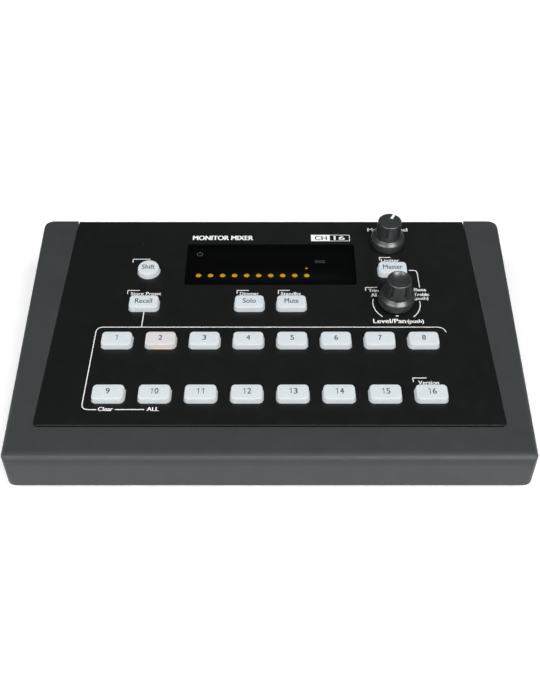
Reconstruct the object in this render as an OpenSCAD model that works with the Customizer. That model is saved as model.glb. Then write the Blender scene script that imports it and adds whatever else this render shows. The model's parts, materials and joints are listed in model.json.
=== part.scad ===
// Desktop personal monitor mixer: a wedge-shaped moulded housing, a folded sheet top panel,
// soft keys, two knobs and a smoked display window, with sockets along the rear.
// Frame: +X is the user's right, +Y the rear and +Z up. The origin is on the table, in the middle
// of the footprint. Sloping pieces are drawn in the panel's frame: x across, y up the slope from
// the panel's front edge, z out of the panel's face. Millimetres and degrees.

/* [Housing] */
// Slope of the top
panel_tilt = 10; // [9:0.5:11]
// Width at the rear edge
housing_rear_w = 223.8; // [219:0.2:226]
// Width at the front edge
housing_front_w = 209.6; // [205:0.2:212]
// Length of the grey margin in front of the panel, along the slope
front_margin = 15.5; // [14:0.5:18]
// Height of the front edge above the table
front_edge_h = 18.6; // [18:0.2:20]
// Thickness of the outer walls
wall_t = 2.5; // [2:0.1:3]
// Thickness of the floor
floor_t = 2.5; // [2.2:0.1:3]
// Thickness of the margins round the panel
margin_t = 2.8; // [2.5:0.1:3.2]
// Radius of the front edge
front_round = 4.8; // [1.5:0.1:5]
// Rounding of the margins' long side edges
side_round = 2; // [0.5:0.1:2.5]
// Plan radius of the front corners
front_corner_r = 4; // [3.5:0.5:8]
// Plan radius of the rear corners
rear_corner_r = 5; // [4:0.5:8]
// Height of the feet
foot_h = 3; // [2:0.5:4]
// Diameter of the feet
foot_dia = 12; // [8:1:14]

/* [Top panel] */
// Width of the sheet
panel_w = 188.4; // [187:0.2:191]
// Length of the sheet along the slope
panel_len = 121.9; // [120:0.1:124]
// Thickness of the sheet
sheet_t = 1.2; // [1:0.1:1.4]
// How far the sheet stands above the grey margins
panel_proud = 0.6; // [0.2:0.1:0.8]
// Shadow gap round the sheet
panel_gap = 0.6; // [0.4:0.1:0.8]
// Radius of the fold at the rear
bend_r = 1.5; // [1.5:0.1:2.4]
// Plan radius of the front corners
panel_corner_r = 1.5; // [1:0.5:3]

/* [Keys] */
// Spacing of the numbered keys
key_pitch = 18.9; // [18.6:0.1:19.2]
// Width of a key
key_w = 13.2; // [12.5:0.1:14]
// Depth of a key
key_d = 7.9; // [7.4:0.1:8.4]
// Height of a key above the panel
key_h = 2.5; // [2:0.1:3]
// Corner radius of a key
key_corner = 1.9; // [1.2:0.1:2.5]
// Diameter of the round key
shift_dia = 10; // [9:0.5:11]
// Clearance round a key in its hole
key_gap = 0.35; // [0.25:0.05:0.5]
// How far a key travels
key_travel = 0.8; // [0.4:0.1:0.8]
// Distance up the slope to the row of keys 9 to 16
lower_row = 15; // [14:0.1:16]
// Distance up the slope to the row of keys 1 to 8
upper_row = 43.6; // [42:0.1:45]
// Distance up the slope to the recall, solo and mute keys
function_row = 65.2; // [64:0.1:66]
// Distance up the slope to the shift and master keys
shift_row = 86.6; // [85.5:0.1:87.5]

/* [Knobs] */
// Diameter of the knob skirts
skirt_dia = 16; // [15:0.5:17]
// Diameter of the knobs' grips where they meet the skirts
grip_dia = 12; // [11.5:0.1:13]
// Height of a knob
knob_h = 13.9; // [13:0.1:15]
// Height of a knob's skirt
skirt_h = 5.2; // [4.8:0.1:6]
// Gap between the level knob and the panel
level_gap = 0.4; // [0.2:0.1:0.8]
// Gap between the encoder knob and the panel
encoder_gap = 1.6; // [0.9:0.1:1.8]
// Distance up the slope to the level knob
level_row = 105.3; // [105:0.1:107]
// Distance up the slope to the encoder knob
encoder_row = 66.1; // [65:0.1:67]
// How far the encoder can be pushed
push_travel = 0.5; // [0.3:0.1:0.6]
// Angle of the level knob's pointer, clockwise from straight up the slope
pointer_turn = 28; // [-150:1:150]
// Number of grip slots round each knob
slot_count = 6; // [4:1:12]

/* [Display] */
// Width of the window
window_w = 79.4; // [78:0.2:80]
// Depth of the window
window_d = 27.5; // [26:0.1:27.8]
// Distance up the slope to the window's front edge
window_row = 77.6; // [77:0.1:78.2]
// How far the window lies below the panel's face
window_recess = 0.6; // [0.2:0.1:0.8]
// Number of meter lamps
lamp_count = 10; // [8:1:10]
// Spacing of the meter lamps
lamp_pitch = 5.65; // [5.4:0.05:5.8]
// Diameter of a meter lamp
lamp_dia = 2.7; // [2:0.1:3]

/* [Rear sockets] */
// Height of the sockets' board above the floor
board_lift = 4; // [3.5:0.5:5]
// Bore radius of the headphone and line sockets
jack_r = 3.25; // [3.2:0.05:3.3]
// Bore radius of the small headphone and auxiliary sockets
small_jack_r = 1.85; // [1.8:0.05:1.9]
// How far the socket noses stand out of the rear
nose_proud = 2.6; // [2.4:0.1:3]

/* [Hidden] */
$fn = 48;
eps = 0.01;

// Overall lengths and the panel's place
housing_d = (front_margin + panel_len) * cos(panel_tilt);
front_y = -(housing_d + nose_proud) / 2;
rear_y = front_y + housing_d;
panel_y = front_y + front_margin * cos(panel_tilt);
panel_z = front_edge_h + front_margin * sin(panel_tilt);
floor_top = foot_h + floor_t;
tall = 60;
ledge_w = 3;
rear_gap = panel_gap + 0.2;

// Depths below the panel's face
board_t = 1.6;
board_top = -8;
board_bottom = board_top - board_t;
flange_w = 0.8;
flange_t = 1;
flange_top = -sheet_t - 0.15;
flange_bottom = flange_top - flange_t;
cap_wall = 1.2;
switch_size = 6;
switch_top = -4.5;
stem_r = 1.6;
stem_engaged = 0.8;
stem_bottom = switch_top - stem_engaged;
switch_bore_depth = stem_engaged + key_travel + 0.6;

// Knob and shaft sizes
shaft_r = 3;
shaft_fit = 0.05;
bush_r = 3.5;
bush_top = 3;
bush_hole_r = 3.7;
nut_af = 10;
nut_t = 2;
slot_r = 0.6;
slot_floor = 4.7;
slot_bottom = skirt_h + 2.4;
level_slot_turn = 15;
encoder_slot_turn = 32;
level_x = 3 * key_pitch - 0.9;
encoder_x = 3 * key_pitch - 0.4;
cavity_bottom = board_top + 0.8;
cavity_top = -3.4;
wiper_bottom = -5.8;
rotor_bottom = -5.4;
level_knob_top = level_gap + knob_h;
level_shaft_top = level_knob_top - 2.5;
encoder_knob_top = encoder_gap + knob_h;
encoder_shaft_top = encoder_knob_top - 4;

// Places on the panel
first_lamp_x = -33.9;
lamp_row = 87.2;
signal_lamp_row = 92;
signal_lamp_dia = 1.5;
mic_x = -61.3;
mic_row = 105.1;
stud_places = [[-84, 8], [84, 8], [-84, 62], [84, 62], [-84, 113], [84, 113], [0, 29.2], [0, 113]];

// The horizontal board that carries the sockets, and what stands on it
main_bottom = floor_top + board_lift;
main_top = main_bottom + board_t;
main_front = -8;
main_back = rear_y - sheet_t - 1;
main_w = 176;
main_boss_places = [[-68, 2], [0, 2], [68, 2], [-42, 50], [38, 50]];
ribbon_x = -6;
ribbon_w = 25.4;

// Socket centres across the rear
dc_x = -80;
network_x = -56;
data_x = -28;
aux_x = -5;
line_x = 22;
phones_small_x = 48;
phones_x = 74;

// Sockets and the heights of their centres
network_size = [16, 21.3, 13.4];
network_hole = [11.9, 14, 7.2];
network_hole_z = main_top + 3.8;
network_latch = [6.2, 8, 2];
socket_face = rear_y + 0.3;
dc_size = [9, 14, 11];
dc_z = main_top + 6.5;
data_size = [13.2, 14, 5.8];
jack_size = [15.5, 24, 12.4];
jack_z = main_top + jack_size.z / 2;
jack_depth = 22;
nose_r = 4.5;
small_jack_size = [7, 12, 5.6];
small_jack_z = main_top + small_jack_size.z / 2;
small_jack_depth = 14;
small_nose_r = 2.8;
small_nose_proud = 2;

// Fasteners
lip_d = 9;
lip_screw_x = [-90, -40, 40, 90];
lip_screw_y = rear_y - sheet_t - lip_d / 2 + 0.6;
foot_places = [for (sx = [-1, 1], sy = [-1, 1]) [sx * 88, sy * 52 - 1]];
insert_y = -26;
insert_r = 7;
insert_bore_r = 3.97;
insert_len = 10;

numbered_keys = [for (i = [0:15])
    [str("key_", i + 1), (i % 8 - 3.5) * key_pitch, i < 8 ? upper_row : lower_row]];
function_keys = [
    ["key_recall", -3 * key_pitch, function_row],
    ["key_solo", -key_pitch / 2, function_row],
    ["key_mute", key_pitch / 2, function_row],
    ["key_master", 3 * key_pitch, shift_row],
    ["key_shift", -3 * key_pitch, shift_row]
];
keys = concat(numbered_keys, function_keys);

// Points on an arc
function arc(centre, r, from, to, steps = 10) =
    [for (i = [0:steps]) let (a = from + (to - from) * i / steps) centre + r * [cos(a), sin(a)]];

// A point on the side view from its place on the slope
function on_slope(along, out) = [
    panel_y + along * cos(panel_tilt) - out * sin(panel_tilt),
    panel_z + along * sin(panel_tilt) + out * cos(panel_tilt)
];

// Height of the surface that lies a given distance out of the panel's face
function slope_z(y, out) = panel_z + (y - panel_y) * tan(panel_tilt) + out / cos(panel_tilt);

// Plan of the housing: a trapezoid with rounded corners, moved in by an inset
side_angle = atan((housing_rear_w - housing_front_w) / 2 / housing_d);
function right_side(inset) =
    let (
        s = sin(side_angle),
        c = cos(side_angle),
        front = [housing_front_w / 2 - front_corner_r * (1 - s) / c, front_y + front_corner_r],
        rear = [housing_rear_w / 2 - rear_corner_r * (1 + s) / c, rear_y - rear_corner_r]
    )
    concat(
        arc(front, front_corner_r - inset, -90, -side_angle),
        arc(rear, rear_corner_r - inset, -side_angle, 90)
    );
function mirrored(points) = [for (i = [len(points) - 1:-1:0]) [-points[i].x, points[i].y]];
function plan(inset) = concat(right_side(inset), mirrored(right_side(inset)));

// Side view of everything below the housing's top, with its rounded front edge
function below_top() =
    let (y = front_y + front_round, z = slope_z(y, -panel_proud) - front_round / cos(panel_tilt))
    concat(
        [[front_y, 0]],
        arc([y, z], front_round, 180, 90 + panel_tilt),
        [[rear_y + 1, slope_z(rear_y + 1, -panel_proud)], [rear_y + 1, 0]]
    );

// Side view of the space under the margins
function below_margins() = [
    [front_y, 0],
    [front_y, slope_z(front_y, -panel_proud - margin_t)],
    [rear_y, slope_z(rear_y, -panel_proud - margin_t)],
    [rear_y, 0]
];

// Side view of the folded sheet: the slope, the rear fold and the lip under the main board
function sheet_side() =
    let (
        chamfer = 0.3,
        y = rear_y - bend_r,
        z = slope_z(y, 0) - bend_r / cos(panel_tilt)
    )
    concat(
        [on_slope(0, -chamfer), on_slope(chamfer, 0)],
        arc([y, z], bend_r, 90 + panel_tilt, 0),
        [
            [rear_y, floor_top],
            [rear_y - lip_d, floor_top],
            [rear_y - lip_d, floor_top + sheet_t],
            [rear_y - sheet_t, floor_top + sheet_t]
        ],
        arc([y, z], bend_r - sheet_t, 0, 90 + panel_tilt),
        [on_slope(0, -sheet_t)]
    );

// Centre line of the ribbon cable in the side view, from the main board up to the key board, and
// how far up the slope its upper end lies
ribbon_start = [14, main_top + 6];
ribbon_end = [38, slope_z(38, board_bottom) - 5.5];
ribbon_end_row = (ribbon_end.x - panel_y) * cos(panel_tilt) + (ribbon_end.y - panel_z) * sin(panel_tilt);
ribbon_pull = 7;
function ribbon_point(t) =
    let (a = ribbon_start, b = a + [0, ribbon_pull], d = ribbon_end, c = d - [0, ribbon_pull])
    pow(1 - t, 3) * a + 3 * pow(1 - t, 2) * t * b + 3 * (1 - t) * t * t * c + pow(t, 3) * d;
function ribbon_side(half) =
    let (steps = 20)
    [for (i = [0:steps])
        let (
            t = i / steps,
            d = ribbon_point(t + eps) - ribbon_point(t - eps)
        )
        ribbon_point(t) + half * [-d.y, d.x] / norm(d)];
function reversed(points) = [for (i = [len(points) - 1:-1:0]) points[i]];

// Puts pieces drawn in the panel's frame in their place
module on_panel() {
    translate([0, panel_y, panel_z]) rotate([panel_tilt, 0, 0]) children();
}

// Extrudes a side view across the width
module across(w, x = 0) {
    translate([x - w / 2, 0, 0]) rotate([90, 0, 90]) linear_extrude(w) children();
}

// Stands a piece drawn along +z on the rear face, pointing to the rear
module out_of_rear(x, z, y = rear_y) {
    translate([x, y, z]) rotate([-90, 0, 0]) children();
}

module block(size, at) {
    translate([at.x - size.x / 2, at.y - size.y / 2, at.z]) cube(size);
}

module rounded_rect(w, d, r) {
    square([w, d - 2 * r], center = true);
    square([w - 2 * r, d], center = true);
    for (sx = [-1, 1], sy = [-1, 1]) translate([sx * (w / 2 - r), sy * (d / 2 - r)]) circle(r);
}

module key_outline(name, grow = 0) {
    if (name == "key_shift") circle(d = shift_dia + 2 * grow);
    else rounded_rect(key_w + 2 * grow, key_d + 2 * grow, key_corner + grow);
}

module panel_plan(grow, inset = 0) {
    w = panel_w + 2 * grow;
    d = panel_len * 1.5;
    translate([0, d / 2 - grow + inset]) rounded_rect(w - 2 * inset, d, panel_corner_r + grow);
}

module lower_housing() {
    color([0.27, 0.28, 0.29]) difference() {
        union() {
            housing_tray();
            for (p = main_boss_places) translate([p.x, p.y, foot_h + 1]) main_boss();
            translate([0, insert_y, foot_h + 1]) cylinder(r = insert_r + 2.5, h = insert_len - 1);
        }
        floor_holes();
    }
}

// The walls, floor and margins, open where the sheet lies
module housing_tray() {
    rear_w = panel_w + 2 * rear_gap;
    difference() {
        intersection() {
            translate([0, 0, foot_h]) linear_extrude(tall) polygon(plan(0));
            across(housing_rear_w + 10) polygon(below_top());
        }
        intersection() {
            translate([0, 0, floor_top]) linear_extrude(tall) polygon(plan(wall_t));
            across(housing_rear_w) polygon(below_margins());
        }
        side_edge_cut();
        mirror([1, 0, 0]) side_edge_cut();
        on_panel() translate([0, 0, -sheet_t]) linear_extrude(10) panel_plan(panel_gap);
        on_panel() translate([0, 0, -10]) linear_extrude(20) panel_plan(0, ledge_w);
        block([rear_w, 4 * wall_t, tall], [0, rear_y, floor_top]);
    }
}

// Rounds the long edge between the right-hand margin and the wall below it
module side_edge_cut() {
    r = side_round;
    run = housing_d / cos(panel_tilt);
    translate([housing_front_w / 2, front_y, slope_z(front_y, -panel_proud)]) rotate([panel_tilt, 0, 0])
        rotate([0, 0, -atan((housing_rear_w - housing_front_w) / 2 / run)])
        translate([0, run + 10, 0]) rotate([90, 0, 0]) linear_extrude(run + 20) difference() {
            translate([-r, -r]) square(r + 3);
            translate([-r, -r]) circle(r);
        }
}

module floor_holes() {
    translate([0, insert_y, foot_h - 1]) cylinder(r = insert_r, h = insert_len + 2);
    for (p = main_boss_places) translate([p.x, p.y, floor_top + 0.5]) cylinder(r = 1.2, h = board_lift);
    for (x = lip_screw_x) translate([x, lip_screw_y, foot_h]) {
        translate([0, 0, -1]) cylinder(r = 1.7, h = floor_t + 2);
        translate([0, 0, -1]) cylinder(r = 3.3, h = 2.3);
    }
    for (p = foot_places) translate([p.x, p.y, foot_h - 1]) cylinder(d = foot_dia + 0.4, h = 1.5);
}

module main_boss() {
    cylinder(r = 3.2, h = floor_t - 1 + board_lift);
}

module top_panel() {
    color([0.1, 0.11, 0.1]) difference() {
        union() {
            across(panel_w) polygon(sheet_side());
            on_panel() for (x = [-60, 0, 60]) hook_tab(x);
            for (x = lip_screw_x) translate([x, lip_screw_y, floor_top]) cylinder(r = 2.6, h = 3.4);
        }
        on_panel() panel_cutouts();
        rear_cutouts();
        for (x = lip_screw_x) translate([x, lip_screw_y, floor_top - 1]) cylinder(r = 1.3, h = 6);
    }
}

// A tab folded from the sheet that slides under the housing's front ledge
module hook_tab(x) {
    block([8, sheet_t, 3.6], [x, ledge_w + 0.8, -4.6]);
    block([8, 6, sheet_t], [x, ledge_w - 1.6, -4.6]);
}

module panel_cutouts() {
    depth = 4 * sheet_t;
    translate([0, 0, -2 * sheet_t]) linear_extrude(depth) {
        for (k = keys) translate([k[1], k[2]]) key_outline(k[0], key_gap);
        translate([0, window_row + window_d / 2]) rounded_rect(window_w, window_d, 1.5);
        translate([mic_x, mic_row]) circle(r = 0.8);
        for (p = [[level_x, level_row], [encoder_x, encoder_row]]) translate(p) circle(r = bush_hole_r);
        for (sx = [-1, 1]) translate([sx * panel_w / 2, 0]) corner_waste(sx);
    }
}

// What the rounded front corner of the sheet takes away
module corner_waste(side) {
    r = panel_corner_r;
    difference() {
        translate([-r, -r]) square(2 * r);
        translate([-side * r, r]) circle(r);
        translate([side > 0 ? -2 * r : r, -r]) square([r, 3 * r]);
        translate([-2 * r, r]) square([4 * r, r]);
    }
}

module rear_cutouts() {
    depth = 4 * sheet_t;
    play = 0.2;
    for (p = [[network_x, network_size], [data_x, data_size], [dc_x, dc_size]])
        block([p[1].x + 2 * play, depth, p[1].z + 2 * play], [p.x, rear_y, main_top - play]);
    for (x = [line_x, phones_x]) out_of_rear(x, jack_z, rear_y - 2 * sheet_t)
        cylinder(r = nose_r + play, h = depth);
    for (x = [aux_x, phones_small_x]) out_of_rear(x, small_jack_z, rear_y - 2 * sheet_t)
        cylinder(r = small_nose_r + play, h = depth);
}

module display_window() {
    color([0.04, 0.05, 0.05, 0.8]) on_panel() translate([0, window_row + window_d / 2, 0]) {
        translate([0, 0, -sheet_t - 1.8]) linear_extrude(1.8) rounded_rect(window_w + 5, window_d + 4.6, 2);
        translate([0, 0, -sheet_t - eps]) linear_extrude(sheet_t - window_recess + eps)
            rounded_rect(window_w - 0.3, window_d - 0.3, 1.4);
    }
}

function lamp_x(i) = first_lamp_x + i * lamp_pitch;

module meter_holder() {
    w = lamp_pitch * lamp_count + 2;
    x = (lamp_x(0) + lamp_x(lamp_count - 1)) / 2;
    color([0.07, 0.07, 0.07]) on_panel() difference() {
        block([w, 13, -3.3 - board_top], [x, lamp_row + 2.3, board_top]);
        for (i = [0:lamp_count - 1]) translate([lamp_x(i), lamp_row, board_top - 1])
            cylinder(d = lamp_dia + 0.1, h = 8);
        translate([lamp_x(lamp_count - 1), signal_lamp_row, board_top - 1])
            cylinder(d = signal_lamp_dia + 0.1, h = 8);
    }
}

module lamp(d) {
    translate([0, 0, board_top]) cylinder(d = d, h = 3);
    translate([0, 0, board_top + 3]) sphere(d = d);
}

module meter_lamps() {
    color([0.95, 0.62, 0.15]) on_panel() {
        for (i = [0:lamp_count - 1]) translate([lamp_x(i), lamp_row, 0]) lamp(lamp_dia);
        translate([lamp_x(lamp_count - 1), signal_lamp_row, 0]) lamp(signal_lamp_dia);
    }
}

// A hollow translucent cap with a retaining flange under the sheet and a stem into its switch
module soft_key(k) {
    color([0.86, 0.88, 0.9]) on_panel() translate([k[1], k[2], 0]) {
        difference() {
            union() {
                translate([0, 0, flange_bottom]) linear_extrude(key_h - flange_bottom) key_outline(k[0]);
                translate([0, 0, flange_bottom]) linear_extrude(flange_t) key_outline(k[0], flange_w);
            }
            translate([0, 0, flange_bottom - 1]) linear_extrude(key_h - cap_wall - flange_bottom + 1)
                key_outline(k[0], -cap_wall);
        }
        translate([0, 0, stem_bottom]) cylinder(r = stem_r, h = key_h - cap_wall / 2 - stem_bottom);
    }
}

module key_switches() {
    color([0.15, 0.15, 0.16]) on_panel() for (k = keys) translate([k[1], k[2], 0]) difference() {
        block([switch_size, switch_size, switch_top - board_top], [0, 0, board_top]);
        translate([0, 0, switch_top - switch_bore_depth]) cylinder(r = stem_r + 0.1, h = 5);
    }
}

module key_lamps() {
    lamp_size = [1.25, 2, 0.7];
    color([0.95, 0.93, 0.8]) on_panel() for (k = keys, sx = [-1, 1])
        block(lamp_size, [k[1] + sx * (k[0] == "key_shift" ? 3.8 : 4.9), k[2], board_top]);
}

module key_board() {
    color([0.05, 0.22, 0.12]) on_panel() difference() {
        block([180, 113, board_t], [0, 60.5, board_bottom]);
        for (p = stud_places) translate([p.x, p.y, board_bottom - 1]) cylinder(r = 1.6, h = 4);
    }
}

module panel_studs() {
    color([0.7, 0.7, 0.68]) on_panel() for (p = stud_places) translate([p.x, p.y, board_top])
        difference() {
            cylinder(r = 2.6, h = -sheet_t - board_top);
            translate([0, 0, -1]) cylinder(r = 1.3, h = 6);
        }
}

// A pan-head screw whose head starts at the origin and whose shank points along +z
module screw(head_r, head_t, shank_r, shank_l) {
    translate([0, 0, -head_t]) difference() {
        cylinder(r = head_r, h = head_t);
        for (a = [0, 90]) rotate(a) block([head_r * 1.1, 0.6, 1.4], [0, 0, -0.6]);
    }
    cylinder(r = shank_r, h = shank_l);
}

module board_screws() {
    color([0.75, 0.75, 0.75]) {
        on_panel() for (p = stud_places) translate([p.x, p.y, board_bottom]) screw(2.6, 1.8, 1.25, 5.5);
        for (p = main_boss_places) translate([p.x, p.y, main_top]) mirror([0, 0, 1])
            screw(2.6, 1.8, 1.15, 4.8);
    }
}

// Common to both controls: a square body on the key board with a threaded bush through the sheet
module control_body(w, d, cavity_r) {
    difference() {
        union() {
            block([w, d, -1.7 - board_top], [0, 0, board_top]);
            translate([0, 0, -2]) cylinder(r = bush_r, h = bush_top + 2);
        }
        translate([0, 0, -4]) cylinder(r = shaft_r + shaft_fit, h = 10);
        translate([0, 0, cavity_bottom]) cylinder(r = cavity_r, h = cavity_top - cavity_bottom);
    }
}

module control_nut() {
    difference() {
        cylinder(r = nut_af / 2 / cos(30), h = nut_t, $fn = 6);
        translate([0, 0, -1]) cylinder(r = bush_r, h = nut_t + 2);
    }
}

module control_shaft(bottom, top) {
    translate([0, 0, bottom]) difference() {
        cylinder(r = shaft_r, h = top - bottom);
        translate([-5, 1.5, bush_top + 0.6 - bottom]) cube([10, 5, 20]);
    }
}

module at_level() {
    on_panel() translate([level_x, level_row, 0]) children();
}

module at_encoder() {
    on_panel() translate([encoder_x, encoder_row, 0]) children();
}

module level_pot_body() {
    color([0.2, 0.3, 0.45]) at_level() control_body(9.8, 11.4, 4.4);
}

module level_pot_shaft() {
    color([0.8, 0.8, 0.8]) at_level() {
        control_shaft(wiper_bottom, level_shaft_top);
        translate([0, 0, wiper_bottom]) cylinder(r = 4.1, h = 1.2);
    }
}

module level_pot_nut() {
    color([0.75, 0.75, 0.72]) at_level() control_nut();
}

// Half section of a knob: a skirt with a sloping shoulder, and a tapered grip with a rounded top edge
function knob_section() =
    let (r = skirt_dia / 2, g = grip_dia / 2, edge_r = 0.8, top_r = g - 0.5)
    concat(
        [[0, 0], [r - 0.2, 0], [r, 0.2], [r, skirt_h - 1.6]],
        [[r - 0.3, skirt_h - 1.1], [g + 0.15, skirt_h], [g, skirt_h + 0.2]],
        arc([top_r - edge_r, knob_h - edge_r], edge_r, 0, 90, 6),
        [[0, knob_h]]
    );

// A knob with finger slots cut in its grip, the first of them at an angle clockwise from up the slope
module knob_blank(gap, turn) {
    slot_h = knob_h - 0.5 - slot_bottom;
    translate([0, 0, gap]) difference() {
        rotate_extrude($fn = 96) polygon(knob_section());
        for (i = [0:slot_count - 1]) rotate(-turn - i * 360 / slot_count)
            translate([0, slot_floor + slot_r, slot_bottom]) {
                cylinder(r = slot_r, h = slot_h, $fn = 24);
                translate([-slot_r, 0, 0]) cube([2 * slot_r, 3, slot_h]);
            }
    }
}

module knob_hollow(shaft_top) {
    translate([0, 0, -1]) cylinder(r = 6.3, h = 1 + bush_top + 1);
    cylinder(r = shaft_r, h = shaft_top);
}

module level_knob() {
    color([0.17, 0.18, 0.18]) at_level() difference() {
        knob_blank(level_gap, level_slot_turn);
        knob_hollow(level_shaft_top);
        rotate(-pointer_turn) pointer_bar();
    }
}

// The inlay runs out to the grip's rounded edge
module pointer_bar() {
    intersection() {
        translate([-0.6, 1.7, level_knob_top - 0.5]) cube([1.2, grip_dia, 1]);
        translate([0, 0, level_gap]) rotate_extrude($fn = 96) polygon(knob_section());
    }
}

module level_pointer() {
    color([0.95, 0.95, 0.95]) at_level() rotate(-pointer_turn) pointer_bar();
}

module encoder_body() {
    color([0.3, 0.3, 0.32]) at_encoder() control_body(12, 12, 4.6);
}

// The ring that turns with the shaft while the shaft slides through it
module encoder_rotor() {
    color([0.85, 0.85, 0.8]) at_encoder() translate([0, 0, rotor_bottom]) difference() {
        cylinder(r = 4.4, h = 1.6);
        translate([0, 0, -1]) cylinder(r = shaft_r + shaft_fit, h = 4);
    }
}

module encoder_shaft() {
    color([0.8, 0.8, 0.8]) at_encoder() control_shaft(cavity_bottom + push_travel + 0.3, encoder_shaft_top);
}

module encoder_nut() {
    color([0.75, 0.75, 0.72]) at_encoder() control_nut();
}

module encoder_knob() {
    dish_r = 6.9;
    dish_depth = 1.8;
    color([0.17, 0.18, 0.18]) at_encoder() difference() {
        knob_blank(encoder_gap, encoder_slot_turn);
        knob_hollow(encoder_shaft_top);
        translate([0, 0, encoder_knob_top - dish_depth + dish_r]) sphere(r = dish_r, $fn = 128);
    }
}

module mic_capsule() {
    color([0.65, 0.65, 0.65]) on_panel() translate([mic_x, mic_row, -4.2]) cylinder(r = 3, h = 2.6);
}

module mic_boot() {
    color([0.08, 0.08, 0.08]) on_panel() translate([mic_x, mic_row, -4.6]) difference() {
        cylinder(r = 4.3, h = 4.6 - sheet_t);
        translate([0, 0, 0.4]) cylinder(r = 3, h = 2.6);
        translate([0, 0, 2]) cylinder(r = 0.8, h = 4);
    }
}

module main_board() {
    d = main_back - main_front;
    color([0.05, 0.22, 0.12]) difference() {
        block([main_w, d, board_t], [0, main_front + d / 2, main_bottom]);
        for (p = main_boss_places) translate([p.x, p.y, main_bottom - 1]) cylinder(r = 1.5, h = 4);
    }
}

// Chips and reservoir capacitors on the main board
module board_components() {
    color([0.12, 0.12, 0.13]) {
        block([16, 16, 1.6], [-46, 22, main_top]);
        block([12, 12, 1.6], [44, 20, main_top]);
        block([9, 7, 1.8], [-74, 26, main_top]);
        for (x = [24, 60, 76]) translate([x, 20, main_top]) cylinder(r = 3.15, h = 7);
    }
}

// A block whose rear end is flush with the sockets' faces
module rear_block(size, x, z, out = 0) {
    block(size, [x, socket_face - size.y / 2 + out, z]);
}

module network_socket() {
    color([0.14, 0.14, 0.15]) difference() {
        rear_block(network_size, network_x, main_top);
        rear_block(network_hole, network_x, network_hole_z, eps);
        rear_block(network_latch, network_x, network_hole_z - network_latch.z, eps);
    }
}

// Eight spring contacts at the top of the socket's hollow
module network_contacts() {
    color([0.85, 0.7, 0.3]) for (i = [0:7])
        rear_block([0.45, 9, 0.5], network_x + (i - 3.5) * 1.02, network_hole_z + network_hole.z - 0.5, -4);
}

module dc_inlet() {
    color([0.1, 0.1, 0.1]) {
        difference() {
            rear_block(dc_size, dc_x, main_top);
            out_of_rear(dc_x, dc_z, rear_y - 9.5) cylinder(r = 3.1, h = 12);
        }
        out_of_rear(dc_x, dc_z, rear_y - 10) cylinder(r = 1, h = 9.2);
    }
}

module data_port() {
    skin = 0.4;
    hollow = data_size - [2 * skin, 1.2, 2 * skin];
    color([0.75, 0.75, 0.75]) {
        difference() {
            rear_block(data_size, data_x, main_top);
            rear_block(hollow, data_x, main_top + skin, eps);
        }
        rear_block([11, 12, 1.8], data_x, main_top + 2.9, -1.4);
    }
}

// A jack socket: a square body on the board and a threaded nose through the rear
module jack(x, z, size, bore_r, outer_r, depth, proud) {
    difference() {
        union() {
            block(size, [x, rear_y - sheet_t - 0.2 - size.y / 2, main_top]);
            out_of_rear(x, z, rear_y - 3) cylinder(r = outer_r, h = 3 + proud);
        }
        out_of_rear(x, z, rear_y + proud - depth) cylinder(r = bore_r, h = depth + 1);
    }
}

module big_jack(x) {
    color([0.09, 0.09, 0.1]) jack(x, jack_z, jack_size, jack_r, nose_r, jack_depth, nose_proud);
}

module small_jack(x) {
    color([0.12, 0.12, 0.13])
        jack(x, small_jack_z, small_jack_size, small_jack_r, small_nose_r, small_jack_depth,
            small_nose_proud);
}

module jack_nuts() {
    color([0.78, 0.78, 0.76]) {
        for (x = [line_x, phones_x]) out_of_rear(x, jack_z) difference() {
            cylinder(r = 12 / 2 / cos(30), h = 1.8, $fn = 6);
            translate([0, 0, -1]) cylinder(r = nose_r, h = 4);
        }
        for (x = [aux_x, phones_small_x]) out_of_rear(x, small_jack_z) difference() {
            cylinder(r = 4, h = 1.3);
            translate([0, 0, -1]) cylinder(r = small_nose_r, h = 4);
        }
    }
}

module ribbon_cable() {
    half = 0.45;
    color([0.6, 0.6, 0.62]) across(ribbon_w, ribbon_x)
        polygon(concat(ribbon_side(half), reversed(ribbon_side(-half))));
}

module ribbon_headers() {
    color([0.1, 0.1, 0.11]) {
        block([ribbon_w + 2.6, 5, 6], [ribbon_x, ribbon_start.x, main_top]);
        on_panel() block([ribbon_w + 2.6, 5, 5], [ribbon_x, ribbon_end_row, board_bottom - 5]);
    }
}

module housing_screws() {
    color([0.2, 0.2, 0.2]) for (x = lip_screw_x) translate([x, lip_screw_y, foot_h + 1.3])
        screw(3, 1.2, 1.25, 5);
}

module rubber_feet() {
    color([0.06, 0.06, 0.06]) for (p = foot_places) translate([p.x, p.y, 0]) {
        cylinder(d1 = foot_dia - 1.2, d2 = foot_dia, h = 0.8);
        translate([0, 0, 0.8 - eps]) cylinder(d = foot_dia, h = foot_h + 0.5 - 0.8 + eps);
    }
}

module stand_insert() {
    color([0.8, 0.65, 0.3]) translate([0, insert_y, foot_h]) difference() {
        cylinder(r = insert_r, h = insert_len);
        translate([0, 0, -1]) cylinder(r = insert_bore_r, h = insert_len + 2);
    }
}

lower_housing();
top_panel();
display_window();
meter_holder();
meter_lamps();
for (k = keys) soft_key(k);
key_switches();
key_lamps();
key_board();
panel_studs();
board_screws();
level_pot_body();
level_pot_shaft();
level_pot_nut();
level_knob();
level_pointer();
encoder_body();
encoder_rotor();
encoder_shaft();
encoder_nut();
encoder_knob();
mic_capsule();
mic_boot();
main_board();
board_components();
network_socket();
network_contacts();
dc_inlet();
data_port();
big_jack(phones_x);  // headphone_jack
big_jack(line_x);  // line_jack
small_jack(phones_small_x);  // small_headphone_jack
small_jack(aux_x);  // aux_jack
jack_nuts();
ribbon_cable();
ribbon_headers();
housing_screws();
rubber_feet();
stand_insert();
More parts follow.
